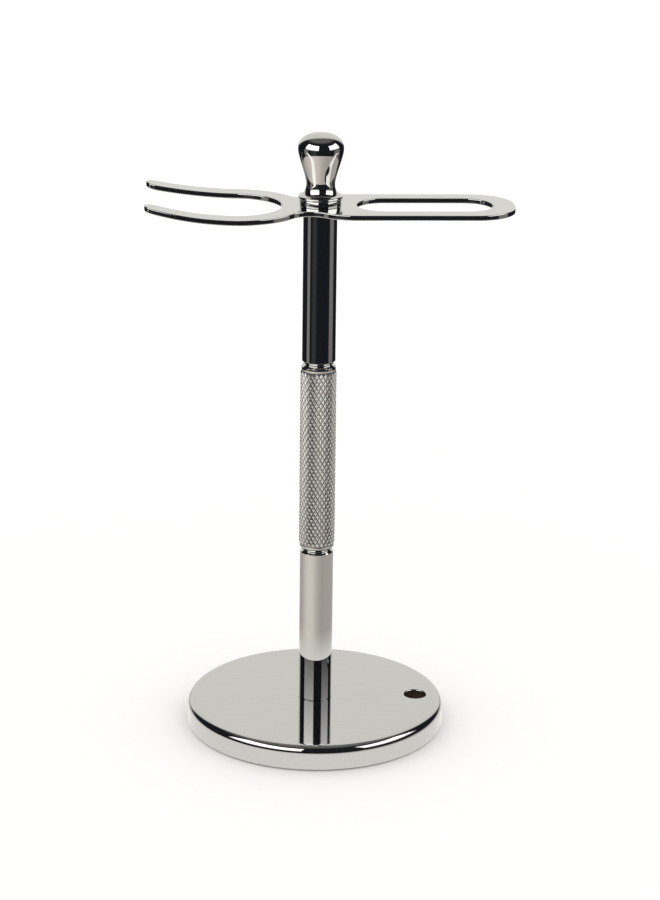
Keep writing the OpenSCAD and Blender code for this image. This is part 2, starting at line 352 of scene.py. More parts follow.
# %% [markdown]
# ## The column
#
# Two plain stems with a knurled grip between them. Each end has a small chamfer, so where two pieces meet there is
# a V-shaped groove all round, which hides the joint. The stems are bored at both ends for the studs that hold
# the column together. The bores never show, but the pieces are turned with them, because the studs need the room.

# %% Stems
chamfer, foot_chamfer, broken_edge = 0.8 * mm, 0.2 * mm, 0.08 * mm
bore_r = 2.55 * mm
screw_bore, joint_bore, top_bore = 9.3 * mm, 9 * mm, 15 * mm


def stem_outline(radius, low, high, low_chamfer, high_chamfer, low_bore, high_bore):
    """A plain stem with a chamfer and a bore at each end."""
    return soft_corners([
        (0, low + low_bore, 0), (bore_r, low + low_bore, 0), (bore_r, low, 0),
        (radius - low_chamfer, low, broken_edge / 2), (radius, low + low_chamfer, broken_edge),
        (radius, high - high_chamfer, broken_edge), (radius - high_chamfer, high, broken_edge / 2),
        (bore_r, high, 0), (bore_r, high - high_bore, 0), (0, high - high_bore, 0),
    ], steps=4)


stem_r, foot_z, lower_top = turned_box("lower_stem")
lower_stem = turned("lower_stem_polished", stem_outline(
    stem_r, foot_z, lower_top, foot_chamfer, chamfer, screw_bore, joint_bore))
polish_shading(lower_stem, 60)
place(lower_stem, "lower_stem", "stand", chrome)

stem_r, upper_low, upper_top = turned_box("upper_stem")
upper_stem = turned("upper_stem_polished", stem_outline(
    stem_r, upper_low, upper_top, chamfer, chamfer, joint_bore, top_bore))
polish_shading(upper_stem, 60)
place(upper_stem, "upper_stem", "stand", chrome)

# %% [markdown]
# ## The knurled grip
#
# Knurling is pressed in by two rollers, which leave two sets of slanting grooves that cross. What stands between
# four grooves is a small diamond with a slightly flattened top. A bump map could fake that, but the outline would
# stay smooth, and a knurl is known by its toothed outline. So each diamond is real geometry. Unrolled, the
# surface is a chequered grid: the grooves cross at the corners of each diamond, and four sloping sides rise
# from them to a small flat. That takes only eight corners a diamond, fewer than any fine displacement would.

# %% Knurled grip
grip_r, grip_low, grip_top = turned_box("knurled_grip")
band_r, upper_band, lower_band = 4.6 * mm, 1.8 * mm, 1.3 * mm
knurls_round, knurl_rise, knurl_depth, knurl_flat = 24, 2.0 * mm, 0.26 * mm, 0.26


def knurled_sleeve(low, high, radius, depth):
    """Rings of diamond studs from low to high. Returns corners, faces and the two end rings."""
    rows = round((high - low) / (knurl_rise / 2))
    step = (high - low) / rows
    columns = 2 * knurls_round
    verts, faces, crossing = [], [], {}

    def at(column, height, r):
        t = math.pi * column / knurls_round
        verts.append((r * math.cos(t), r * math.sin(t), height))
        return len(verts) - 1

    for row in range(rows + 1):
        for column in range(row % 2, columns, 2):
            crossing[row, column] = at(column, low + row * step, radius - depth)
    for row in range(1, rows):
        for column in range((row + 1) % 2, columns, 2):
            z = low + row * step
            corners = [crossing[row, (column + 1) % columns], crossing[row + 1, column],
                       crossing[row, (column - 1) % columns], crossing[row - 1, column]]
            top = [at(column + knurl_flat, z, radius), at(column, z + knurl_flat * step, radius),
                   at(column - knurl_flat, z, radius), at(column, z - knurl_flat * step, radius)]
            faces.append(top)
            for k in range(4):
                faces.append([corners[k], corners[(k + 1) % 4], top[(k + 1) % 4], top[k]])
    ends = {}
    for row, inward in ((0, 1), (rows, -1)):
        ring = [crossing[row, c] for c in range(row % 2, columns, 2)]
        ends[row] = ring
        for k, c in enumerate(range(row % 2, columns, 2)):
            faces.append([ring[k], ring[(k + 1) % len(ring)], crossing[row + inward, (c + 1) % columns]])
    return verts, faces, ends[0], ends[rows]


# %% The grip's core and its plain end bands
def joined(name, *pieces):
    """One object from several, which keeps the first one's name."""
    work = bmesh.new()
    for piece in pieces:
        work.from_mesh(piece.data)
        bpy.data.objects.remove(piece)
    mesh = bpy.data.meshes.new(name)
    work.to_mesh(mesh)
    work.free()
    whole = bpy.data.objects.new(name, mesh)
    bpy.context.scene.collection.objects.link(whole)
    return whole


def close_sleeve(verts, faces, low_ring, high_ring, inner_r):
    """Gives the knurled sleeve an inner wall, so that it is a closed body."""
    inner_rings = []
    for ring in (low_ring, high_ring):
        inner = []
        for v in ring:
            x, y, z = verts[v]
            verts.append((x * inner_r / math.hypot(x, y), y * inner_r / math.hypot(x, y), z))
            inner.append(len(verts) - 1)
        inner_rings.append(inner)
    count = len(low_ring)
    for near, far in ((low_ring, inner_rings[0]), (high_ring, inner_rings[1]), inner_rings):
        for k in range(count):
            on = (k + 1) % count
            faces.append([near[k], near[on], far[k]])
            faces.append([near[on], far[on], far[k]])


knurl_low, knurl_high = grip_low + lower_band, grip_top - upper_band
core_gap, sleeve_wall = 0.05 * mm, 0.2 * mm
core_r = grip_r - knurl_depth - core_gap
grip_verts, grip_faces, low_ring, high_ring = knurled_sleeve(knurl_low, knurl_high, grip_r, knurl_depth)
print("diamonds on the grip:", (len(grip_faces) - 2 * knurls_round) // 5)
close_sleeve(grip_verts, grip_faces, low_ring, high_ring, core_r - sleeve_wall)
sleeve = new_piece("grip_sleeve", grip_verts, grip_faces)
core = turned("grip_core", soft_corners([
    (bore_r, grip_low, 0),
    (band_r - chamfer, grip_low, broken_edge / 2), (band_r, grip_low + chamfer, broken_edge),
    (band_r, knurl_low, broken_edge), (core_r, knurl_low, 0), (core_r, knurl_high, 0),
    (band_r, knurl_high, broken_edge), (band_r, grip_top - chamfer, broken_edge),
    (band_r - chamfer, grip_top, broken_edge / 2), (bore_r, grip_top, 0),
    (bore_r, grip_top - joint_bore, 0), (0, grip_top - joint_bore, 0),
    (0, grip_low + joint_bore, 0), (bore_r, grip_low + joint_bore, 0),
], steps=4))
grip = joined("knurled_grip_polished", core, sleeve)
polish_shading(grip, sharp_degrees=12)

# %% [markdown]
# The crests are polished bright by hands. The grooves are painted darker: painted shade that stands for the
# shade falling into the knurl's recesses. How deep a point lies is its distance from the axis, so the material
# measures that and uses it to mix the crest tone with the painted shade. The plain bands at the grip's ends are
# polished like the stems, and the material tells them from the knurl by their height.

# %% Knurled chrome
# The first tone is painted shade: the darker tone laid into the knurl's grooves.
groove_shade_tone, crest_share, slack = (0.30, 0.29, 0.275), 0.35, 0.01 * mm


def axis_distance(tree):
    """How far a shaded point lies from the Z axis."""
    where = add_node(tree, "ShaderNodeTexCoord")
    flat = add_node(tree, "ShaderNodeVectorMath", operation="MULTIPLY")
    flat.inputs[1].default_value = (1, 1, 0)
    tree.links.new(where.outputs["Object"], flat.inputs[0])
    length = add_node(tree, "ShaderNodeVectorMath", operation="LENGTH")
    tree.links.new(flat.outputs[0], length.inputs[0])
    return length.outputs["Value"]


def knurled_metal():
    """Bright crests, painted shade in the grooves, and polished plain bands above and below them."""
    material = metal("chrome_knurled", (0.88, 0.86, 0.83), dark=(0.78, 0.76, 0.73), rough=0.33,
                     rough_spread=0.10, line_scale=900, stretch=1.0, patch_scale=120, bump=1e-6)
    tree = material.node_tree
    shader = tree.nodes["Principled BSDF"]
    crest_tone = shader.inputs["Base Color"].links[0].from_socket
    crest_rough = shader.inputs["Roughness"].links[0].from_socket
    # Painted shade: the deeper a point lies in a groove, the more of the dark groove tone it gets.
    depth = add_node(tree, "ShaderNodeMapRange", interpolation_type="SMOOTHSTEP",
                     in_From_Min=grip_r - knurl_depth, in_From_Max=grip_r - crest_share * knurl_depth)
    tree.links.new(axis_distance(tree), depth.inputs["Value"])
    groove_shade = add_node(tree, "ShaderNodeMix", data_type="RGBA", in_A=(*groove_shade_tone, 1))
    tree.links.new(depth.outputs["Result"], groove_shade.inputs["Factor"])
    tree.links.new(crest_tone, groove_shade.inputs["B"])
    where = add_node(tree, "ShaderNodeTexCoord")
    level = add_node(tree, "ShaderNodeSeparateXYZ")
    tree.links.new(where.outputs["Object"], level.inputs[0])
    above = math_node(tree, "GREATER_THAN", level.outputs["Z"], knurl_low - slack)
    below = math_node(tree, "LESS_THAN", level.outputs["Z"], knurl_high + slack)
    knurled = math_node(tree, "MULTIPLY", above, below)
    tone = add_node(tree, "ShaderNodeMix", data_type="RGBA", in_A=(*plain_chrome, 1))
    tree.links.new(knurled, tone.inputs["Factor"])
    tree.links.new(groove_shade.outputs["Result"], tone.inputs["B"])
    tree.links.new(tone.outputs["Result"], shader.inputs["Base Color"])
    rough = add_node(tree, "ShaderNodeMix", data_type="FLOAT", in_A=plain_rough)
    tree.links.new(knurled, rough.inputs["Factor"])
    tree.links.new(crest_rough, rough.inputs["B"])
    tree.links.new(rough.outputs["Result"], shader.inputs["Roughness"])
    return material


chrome_knurled = knurled_metal()
place(grip, "knurled_grip", "stand", chrome_knurled)

# %% [markdown]
# ## The holder plate
#
# The plate is cut from 1.4 mm sheet, its edges are tumbled round, and the fork is then bent slightly upwards over
# a large former. The script goes the same way: a flat outline curve is filled, given its thickness and a round
# bevel, turned into a mesh, and bent last. The outline is made of arcs and straight lines that run smoothly
# into each other, because any kink would show at once in the polished edge.

# %% Outline of the plate
plate_low, plate_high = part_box("holder_plate")
plate_z, plate_t = plate_low.z, 1.4 * mm
loop_half, loop_tip, loop_corner, loop_root = 12.5 * mm, plate_high.x, 11 * mm, 9 * mm
slot_half, slot_start, slot_end = 7.3 * mm, 9.5 * mm, loop_tip - 5.8 * mm
gap_r, prong_w, gap_centre = 12.6 * mm, 5.8 * mm, 22.5 * mm
prong_tip, bend_x, bend_r = -plate_low.x, 27 * mm, 87 * mm
waist_r = 5.6 * mm
fork_r = gap_r + prong_w


def upper_half_outline():
    """From the loop's tip round the +Y side to the middle of the fork's gap."""
    corner_y = loop_half - loop_corner
    corner = (loop_tip - loop_corner, corner_y)
    points = arc_points(corner, loop_corner, 0, 90, 24)
    span = loop_root + gap_centre
    to_fork, to_loop = fork_r + waist_r, loop_half + waist_r
    along = (to_fork**2 - to_loop**2 + span**2) / (2 * span)
    blend = (along - gap_centre, math.sqrt(to_fork**2 - along**2))
    loop_angle = math.degrees(math.atan2(blend[1], blend[0] - loop_root))
    fork_angle = math.degrees(math.atan2(blend[1], blend[0] + gap_centre))
    points += arc_points((loop_root, 0), loop_half, 90, loop_angle, 16)
    points += arc_points(blend, waist_r, loop_angle - 180, fork_angle - 180, 24)[1:-1]
    points += arc_points((-gap_centre, 0), fork_r, fork_angle, 90, 24)
    middle = (-bend_x, gap_r + prong_w / 2 - bend_r)
    tip = prong_tip - prong_w / 2
    sweep = math.degrees(math.asin((tip - bend_x) / bend_r))
    points += arc_points(middle, bend_r + prong_w / 2, 90, 90 + sweep, 24)
    tip_centre = arc_points(middle, bend_r, 90 + sweep, 90 + sweep, 1)[0]
    points += arc_points(tip_centre, prong_w / 2, 90 + sweep, 270 + sweep, 24)[1:-1]
    points += arc_points(middle, bend_r - prong_w / 2, 90 + sweep, 90, 24)
    points += arc_points((-gap_centre, 0), gap_r, 90, 0, 48)
    return points


half = upper_half_outline()
plate_outline = half + [(x, -y) for x, y in reversed(half[:-1])]
slot_outline = (arc_points((slot_end - slot_half, 0), slot_half, -90, 90, 32)
                + arc_points((slot_start + slot_half, 0), slot_half, 90, 270, 32))
stud_hole = arc_points((0, 0), bore_r, 0, 360, 48)[:-1]
print("plate outline has", len(plate_outline), "points")

# %% Fill and bevel the outline
def flat_plate(name, outlines, low, thickness, edge):
    """A flat plate with rounded edges from closed outlines, the first one outside and the rest as holes."""
    curve = bpy.data.curves.new(name, "CURVE")
    curve.dimensions, curve.fill_mode = "2D", "BOTH"
    curve.extrude, curve.bevel_depth, curve.offset = thickness / 2 - edge, edge, -edge
    curve.bevel_resolution = 6
    for outline in outlines:
        spline = curve.splines.new("POLY")
        spline.points.add(len(outline) - 1)
        for point, (x, y) in zip(spline.points, outline):
            point.co = (x, y, 0, 1)
        spline.use_cyclic_u = True
    shape = bpy.data.objects.new(name, curve)
    bpy.context.scene.collection.objects.link(shape)
    bpy.context.view_layer.update()
    whole = bpy.context.evaluated_depsgraph_get()
    mesh = bpy.data.meshes.new_from_object(shape.evaluated_get(whole))
    bpy.data.objects.remove(shape)
    work = bmesh.new()
    work.from_mesh(mesh)
    bmesh.ops.remove_doubles(work, verts=work.verts, dist=1e-7)
    bmesh.ops.recalc_face_normals(work, faces=work.faces)
    for vert in work.verts:
        vert.co.z += low + thickness / 2
    work.to_mesh(mesh)
    work.free()
    plate = bpy.data.objects.new(name, mesh)
    bpy.context.scene.collection.objects.link(plate)
    return plate


plate_edge = 0.28 * mm
plate = flat_plate("holder_plate_polished", [plate_outline, slot_outline, stud_hole],
                   plate_z, plate_t, plate_edge)
print("flat plate:", len(plate.data.vertices), "corners, box", [round(d / mm, 2) for d in plate.dimensions])

# %% [markdown]
# To bend the fork, the flat faces first need corners along their length, so the mesh is sliced across the fork
# every millimetre. Each slice then rises to its place on the former. The reflections have to follow the bend
# without facets, so the script works out the exact surface direction at each corner and gives it to Blender as a
# custom normal.

# %% Bend the fork
rise_x, rise_r = 20 * mm, 103 * mm
former_z = plate_z + plate_t + rise_r


def bent_level(x, share):
    """Height of the plate at x, for a share of its thickness from 0 (underside) to 1 (top)."""
    run = max(-rise_x - x, 0)
    return former_z - math.sqrt((rise_r + plate_t * (1 - share)) ** 2 - run**2)


def bend_fork(piece):
    """Slices the fork, raises each slice to its place, and sets the true surface directions."""
    mesh = piece.data
    work = bmesh.new()
    work.from_mesh(mesh)
    slices = int((prong_tip - rise_x) / mm) + 1
    for k in range(slices):
        bmesh.ops.bisect_plane(work, geom=work.verts[:] + work.edges[:] + work.faces[:], dist=1e-8,
                               plane_co=(-rise_x - k * mm, 0, 0), plane_no=(1, 0, 0))
    work.normal_update()
    work.verts.ensure_lookup_table()
    normals = []
    for vert in work.verts:
        share = (vert.co.z - plate_z) / plate_t
        above = (vert.co.z - (plate_z + plate_t - plate_edge)) / plate_edge
        below = (plate_z + plate_edge - vert.co.z) / plate_edge
        tilt = max(min(above, 1), 0) - max(min(below, 1), 0)
        side = Vector((vert.normal.x, vert.normal.y, 0))
        side = side.normalized() if side.length > 1e-6 else Vector((0, 0, 0))
        normal = side * math.sqrt(max(1 - tilt * tilt, 0)) + Vector((0, 0, tilt))
        run = max(-rise_x - vert.co.x, 0)
        slope = -run / math.sqrt((rise_r + plate_t * (1 - share)) ** 2 - run**2)
        normals.append(Vector((normal.x - slope * normal.z, normal.y, normal.z)).normalized())
        vert.co.z = bent_level(vert.co.x, share)
    work.to_mesh(mesh)
    work.free()
    mesh.shade_smooth()
    mesh.normals_split_custom_set_from_vertices(normals)


bend_fork(plate)
place(plate, "holder_plate", "holder", chrome_plate)
print("fork tips stand", round((bent_level(-prong_tip, 1) - plate_z - plate_t) / mm, 2), "mm above the plate")

# %% [markdown]
# ## The finial
#
# One turned knob: a drum that clamps the plate, a small bead at the drum's top edge, a hollow cove that runs up
# into the narrow neck, and a ball on top that tapers down to the neck. The outline is written as the turner would
# describe it, piece by piece, and sampled finely, because the ball mirrors the whole room.

# %% Finial
finial_r, finial_z, finial_top = turned_box("finial")
drum_r, bead_r, neck_r = 5.5 * mm, 5.85 * mm, 3.8 * mm
bead_top, bead_t, neck_z, widest_z = 2.6 * mm, 0.9 * mm, 5.4 * mm, 14.8 * mm
neck_pull, ball_pull, cap_power, foot_edge = 0.26, 0.24, 0.91, 0.15 * mm
cove_w, cap_h = bead_r - 0.15 * mm - neck_r, finial_top - finial_z - widest_z


def taper_point(u):
    """A point on the curve from the neck (u = 0) to the ball (u = 1), which is upright at both ends."""
    rise = 3 * (1 - u) ** 2 * u * neck_pull + 3 * (1 - u) * u**2 * (1 - ball_pull) + u**3
    return neck_r + (finial_r - neck_r) * u * u * (3 - 2 * u), neck_z + (widest_z - neck_z) * rise


def finial_outline():
    """The knob's outline from its foot to its top, in the stand's own heights."""
    foot = [(drum_r - foot_edge, 0), (drum_r, foot_edge), (drum_r, bead_top - bead_t - 0.2 * mm)]
    bead = arc_points((bead_r - bead_t / 2, bead_top - bead_t / 2), bead_t / 2, -90, 90, 16)
    cove = [(neck_r + cove_w * (1 - math.sin(t)), neck_z - (neck_z - bead_top) * math.cos(t))
            for t in (math.radians(3 * k) for k in range(31))]
    taper = [taper_point(k / 48) for k in range(1, 48)]
    cap = [(finial_r * math.cos(t) ** cap_power, widest_z + cap_h * math.sin(t) ** cap_power)
           for t in (math.radians(2.5 * k) for k in range(36))]
    return [(r, finial_z + z) for r, z in foot + bead + cove + taper + cap + [(0, finial_top - finial_z)]]


stud_room = 8.9 * mm
stud_socket = [(0, finial_z + stud_room), (bore_r, finial_z + stud_room), (bore_r, finial_z)]
finial = turned("finial_polished", stud_socket + finial_outline())
polish_shading(finial, 40)
place(finial, "finial", "finial", chrome)

# %% [markdown]
# ## Threads
#
# The top stud shows when the finial is unscrewed, so it gets a real thread: a ridge that climbs 0.8 mm each turn.
# The radius of each point follows from how far it lies along that climb, and both ends are chamfered to start
# easily in the hole. A Screw modifier would sweep the same ridge, but it would leave open ends to close by hand.
# The studs and the screw inside the column never show, so they keep their CAD shape.

# %% Top stud
stud_r, stud_low, stud_high = turned_box("top_stud")
pitch, thread_depth, stud_chamfer = 0.8 * mm, 0.42 * mm, 0.6 * mm
crest_reach, flank_reach = 0.35, 1.25  # quarters of the pitch, on each side of the ridge's middle


def threaded_rod(name, radius, low, high, columns=48, steps_per_turn=16):
    """A rod with one ridge that climbs round it, and a chamfer at each end."""
    rows = round((high - low) / pitch * steps_per_turn)
    verts, faces = [], []
    for i in range(rows + 1):
        z = low + (high - low) * i / rows
        ends = min(z - low, high - z)
        widest = radius - max(stud_chamfer - ends, 0)
        for k in range(columns):
            t = 2 * math.pi * k / columns
            climb = (z / pitch - k / columns) % 1
            groove = min(max(4 * abs(climb - 0.5) - crest_reach, 0) / flank_reach, 1)
            r = min(radius - thread_depth * groove, widest)
            verts.append((r * math.cos(t), r * math.sin(t), z))
    for i in range(rows):
        for k in range(columns):
            a, b = i * columns + k, i * columns + (k + 1) % columns
            faces.append([a, b, b + columns, a + columns])
    faces.append(list(range(columns)))
    faces.append(list(range(rows * columns, (rows + 1) * columns)))
    return new_piece(name, verts, faces)


turned_steel = metal("turned_steel", (0.58, 0.575, 0.56), dark=(0.40, 0.395, 0.38), rough=0.22,
                     rough_spread=0.15, line_scale=3000, stretch=1.0, patch_scale=200, bump=2e-6)
top_stud = threaded_rod("top_stud_thread", stud_r, stud_low, stud_high)
polish_shading(top_stud, 50)
place(top_stud, "top_stud", "stud", turned_steel)

# %% [markdown]
# ## The pad and the metal inside the base
#
# Under the base lies a disc of dense black foam that keeps the stand from sliding and scratching. It is cut with
# a soft edge and has fine pores. The weight behind it is plain steel with a dark skin of oxide, and it shows only
# as the wall of the hole. The screw and its two washers are zinc plated, with the faint yellow and blue
# cast that such plating has. These pieces keep their CAD shapes and only get a finish.

# %% Foam pad
pad_r, pad_low, pad_high = turned_box("base_pad")
pad = turned("base_pad_foam", soft_corners([
    (0, pad_low, 0), (pad_r, pad_low, 0.3 * mm), (pad_r, pad_high, 0.1 * mm), (0, pad_high, 0)]))
cut_hole(pad, [(0, -past), (hole_r, -past), (hole_r, pad_high + past), (0, pad_high + past)], hole_x)
polish_shading(pad)


def foam_material():
    """Matt black foam with fine pores."""
    material, tree = new_material("foam_black")
    shader = tree.nodes["Principled BSDF"]
    shader.inputs["Specular IOR Level"].default_value = 0.25
    where = add_node(tree, "ShaderNodeTexCoord")
    pores = add_node(tree, "ShaderNodeTexVoronoi", in_Scale=2600.0, in_Randomness=1.0)
    cloud = add_node(tree, "ShaderNodeTexNoise", in_Scale=220.0, in_Detail=4.0)
    for texture in (pores, cloud):
        tree.links.new(where.outputs["Object"], texture.inputs["Vector"])
    tone = add_node(tree, "ShaderNodeMix", data_type="RGBA",
                    in_A=(0.012, 0.012, 0.013, 1), in_B=(0.05, 0.05, 0.052, 1))
    paleness = math_node(tree, "MULTIPLY", pores.outputs["Distance"], cloud.outputs["Fac"])
    tree.links.new(paleness, tone.inputs["Factor"])
    tree.links.new(tone.outputs["Result"], shader.inputs["Base Color"])
    rough = add_node(tree, "ShaderNodeMapRange", in_To_Min=0.8, in_To_Max=0.95)
    tree.links.new(cloud.outputs["Fac"], rough.inputs["Value"])
    tree.links.new(rough.outputs["Result"], shader.inputs["Roughness"])
    relief = add_node(tree, "ShaderNodeBump", in_Strength=0.8, in_Distance=0.08 * mm)
    tree.links.new(pores.outputs["Distance"], relief.inputs["Height"])
    tree.links.new(relief.outputs["Normal"], shader.inputs["Normal"])
    return material


place(pad, "base_pad", "stand", foam_material())

# %% Metal inside the base and the column
def coat(node, material):
    """Gives a CAD node that stays its finish."""
    mesh = nodes[node].data
    mesh.materials.clear()
    mesh.materials.append(material)
    print(f"{node}: keeps its CAD shape, finish {material.name}")


oxide_steel = metal("oxide_steel", (0.17, 0.12, 0.09), dark=(0.05, 0.035, 0.028), rough=0.45, rough_spread=0.3,
                    line_scale=260, stretch=1.0, patch_scale=150, bump=2e-5)
zinc_plate = metal("zinc_plate", (0.66, 0.67, 0.68), dark=(0.52, 0.50, 0.42), rough=0.18, rough_spread=0.18,
                   line_scale=700, stretch=1.0, patch_scale=120, bump=3e-6)
coat("base_weight", oxide_steel)
for inner in ("base_screw", "base_washer", "base_lock_washer"):
    coat(inner, zinc_plate)
for inner in ("lower_joint_stud", "upper_joint_stud"):
    coat(inner, turned_steel)

# %% [markdown]
# ## The studio
#
# A mirror has no look of its own: it shows the room. So metalware is shown on a small white table with a pale
# backdrop behind and above it, a dark room in front, and two soft boxes, left and right of the camera. The dark
# room gives the chrome its black lines, and the soft boxes give the white ones.
#
# The white table is a real disc near the stand, because the stems mirror it from very close. What is
# further away is drawn in the World shader as a function of direction: the backdrop, a dim ceiling and some faint
# panels at the sides. The Light Path node sends each kind of ray to its own part. The camera sees plain white,
# mirrors see the drawn room, and dull surfaces get one even soft light.

# %% Table top
floor_r, floor_drop = 0.29, 0.02 * mm


def pale_floor(rings=24, columns=96):
    """A round table top in rings of faces, a hair below the pad so that the two never share a plane."""
    verts, faces = [(0, 0, 0)], [[0, 1 + k, 1 + (k + 1) % columns] for k in range(columns)]
    for i in range(1, rings + 1):
        for k in range(columns):
            t = 2 * math.pi * k / columns
            verts.append((floor_r * i / rings * math.cos(t), floor_r * i / rings * math.sin(t), 0))
    for i in range(rings - 1):
        for k in range(columns):
            a, b = 1 + i * columns + k, 1 + i * columns + (k + 1) % columns
            faces.append([a, a + columns, b + columns, b])
    floor = new_piece("floor", verts, faces)
    floor.location.z = -floor_drop
    return floor


# %% Table finish, and the painted light that mirrors see on it
# These colours paint the light on the table as mirrors see it: a glow, brighter towards the left front.
bright_side = math.radians(50)
near_tone, near_end, far_start = (1.02, 1.01, 0.985), 45 * mm, 75 * mm
painted_table_glow = [(0.0, (0.60, 0.56, 0.53)), (0.55, (0.56, 0.52, 0.49)),
              (0.80, (0.70, 0.65, 0.61)), (1.0, (1.0, 0.93, 0.87))]


def painted_table_light(tree):
    """Painted light on the table as mirrors see it: neutral by the stand, then warm, and brighter towards the left
    front.
    """
    where = add_node(tree, "ShaderNodeTexCoord")
    heading = add_node(tree, "ShaderNodeVectorMath", operation="NORMALIZE")
    tree.links.new(where.outputs["Object"], heading.inputs[0])
    facing = add_node(tree, "ShaderNodeVectorMath", operation="DOT_PRODUCT")
    facing.inputs[1].default_value = (-math.sin(bright_side), -math.cos(bright_side), 0)
    tree.links.new(heading.outputs[0], facing.inputs[0])
    lit = add_node(tree, "ShaderNodeValToRGB")
    stops = lit.color_ramp.elements
    stops[0].color, stops[1].color = (*painted_table_glow[0][1], 1), (*painted_table_glow[-1][1], 1)
    for position, tone in painted_table_glow[1:-1]:
        stops.new(position).color = (*tone, 1)
    half = math_node(tree, "MULTIPLY", facing.outputs["Value"], 0.5)
    tree.links.new(math_node(tree, "ADD", half, 0.5), lit.inputs["Fac"])
    far = add_node(tree, "ShaderNodeVectorMath", operation="LENGTH")
    tree.links.new(where.outputs["Object"], far.inputs[0])
    away = add_node(tree, "ShaderNodeMapRange", interpolation_type="SMOOTHSTEP",
                    in_From_Min=near_end, in_From_Max=far_start)
    tree.links.new(far.outputs["Value"], away.inputs["Value"])
    sheen = add_node(tree, "ShaderNodeMix", data_type="RGBA", in_A=(*near_tone, 1))
    tree.links.new(away.outputs["Result"], sheen.inputs["Factor"])
    tree.links.new(lit.outputs["Color"], sheen.inputs["B"])
    return sheen.outputs["Result"]


def floor_material():
    """White paper for the camera and for dull surfaces, and for mirrors a glow that paints the light on the table.
    """
    material, tree = new_material("floor_white")
    paper = tree.nodes["Principled BSDF"]
    paper.inputs["Base Color"].default_value = (0.93, 0.92, 0.90, 1)
    paper.inputs["Roughness"].default_value = 0.9
    paper.inputs["Specular IOR Level"].default_value = 0.1
    # Mirrors see this painted glow in place of the paper: painted light on the table, which is no lamp.
    glow = add_node(tree, "ShaderNodeEmission", in_Strength=1.0)
    tree.links.new(painted_table_light(tree), glow.inputs["Color"])
    path = add_node(tree, "ShaderNodeLightPath")
    seen = add_node(tree, "ShaderNodeMixShader")
    tree.links.new(path.outputs["Is Glossy Ray"], seen.inputs[0])
    tree.links.new(paper.outputs[0], seen.inputs[1])
    tree.links.new(glow.outputs[0], seen.inputs[2])
    tree.links.new(seen.outputs[0], tree.nodes["Material Output"].inputs["Surface"])
    return material


floor = pale_floor()
floor.data.materials.append(floor_material())
print("floor:", len(floor.data.polygons), "faces, radius", floor_r, "m")

# %% [markdown]
# The two soft boxes stand close by, so the base sees them higher up than the finial does. Only real shapes can do
# that, so each is a curved screen round the stand that glows. A soft box is brightest in its middle and fades
# towards its lower edge, so the glow grows with height. The screens show in mirrors only.

# %% Soft boxes
fade_height = 0.13


def glow_material(name, bottom, strength):
    """A glow that grows from nothing at the bottom to its full strength."""
    material, tree = new_material(name)
    tree.nodes.remove(tree.nodes["Principled BSDF"])
    where = add_node(tree, "ShaderNodeTexCoord")
    level = add_node(tree, "ShaderNodeSeparateXYZ")
    tree.links.new(where.outputs["Object"], level.inputs[0])
    fade = add_node(tree, "ShaderNodeMapRange", interpolation_type="SMOOTHSTEP",
                    in_From_Min=bottom, in_From_Max=bottom + fade_height, in_To_Max=strength)
    tree.links.new(level.outputs["Z"], fade.inputs["Value"])
    glow = add_node(tree, "ShaderNodeEmission")
    tree.links.new(fade.outputs["Result"], glow.inputs["Strength"])
    tree.links.new(glow.outputs[0], tree.nodes["Material Output"].inputs["Surface"])
    return material


def soft_box(name, azimuths, heights, strength, radius=0.45, columns=32):
    """A glowing curved screen. Azimuths are in degrees, 0 in front of the stand and 90 on its right."""
    verts, faces = [], []
    for k in range(columns + 1):
        turn = math.radians(azimuths[0] + (azimuths[1] - azimuths[0]) * k / columns)
        verts.extend((radius * math.sin(turn), -radius * math.cos(turn), z) for z in heights)
    for k in range(columns):
        faces.append([2 * k, 2 * k + 1, 2 * k + 3, 2 * k + 2])
    screen = new_piece(name, verts, faces)
    screen.visible_camera = screen.visible_diffuse = screen.visible_shadow = False
    screen.data.materials.append(glow_material(name, heights[0], strength))
    print(f"{name}: {columns} facets, strength {strength}")


soft_box("soft_box_left", azimuths=(-84, -14), heights=(0.15, 0.60), strength=2.6)
soft_box("soft_box_right", azimuths=(42, 100), heights=(0.16, 0.54), strength=2.3)

# %% World: directions as angles
world = bpy.data.worlds.new("studio")
bpy.context.scene.world = world
world.use_nodes = True
room = world.node_tree
room.nodes.clear()
direction = add_node(room, "ShaderNodeTexCoord")
parts = add_node(room, "ShaderNodeSeparateXYZ")
room.links.new(direction.outputs["Generated"], parts.inputs[0])
to_right, to_back, to_top = parts.outputs
azimuth = math_node(room, "ARCTAN2", to_right, math_node(room, "MULTIPLY", to_back, -1.0))
elevation = math_node(room, "ARCSINE", to_top)
print("world directions: azimuth 0 in front, elevation 0 level")

# %% World: masks and layers
open_end = 100  # degrees, beyond what any direction reaches


def between(value, low, high, soft):
    """1 where low < value < high, in degrees, with edges that fade over a soft width."""
    edges = []
    for edge, sign in ((low, 1), (high, -1)):
        ramp = add_node(room, "ShaderNodeMapRange", interpolation_type="SMOOTHSTEP",
                        in_From_Min=math.radians(edge - soft * sign),
                        in_From_Max=math.radians(edge + soft * sign))
        room.links.new(value, ramp.inputs["Value"])
        edges.append(ramp.outputs["Result"])
    return math_node(room, "MULTIPLY", *edges)


def panel(azimuths, elevations, soft):
    """A rectangle in the room, by the angles at which it is seen."""
    return math_node(room, "MULTIPLY", between(azimuth, *azimuths, soft), between(elevation, *elevations, soft))


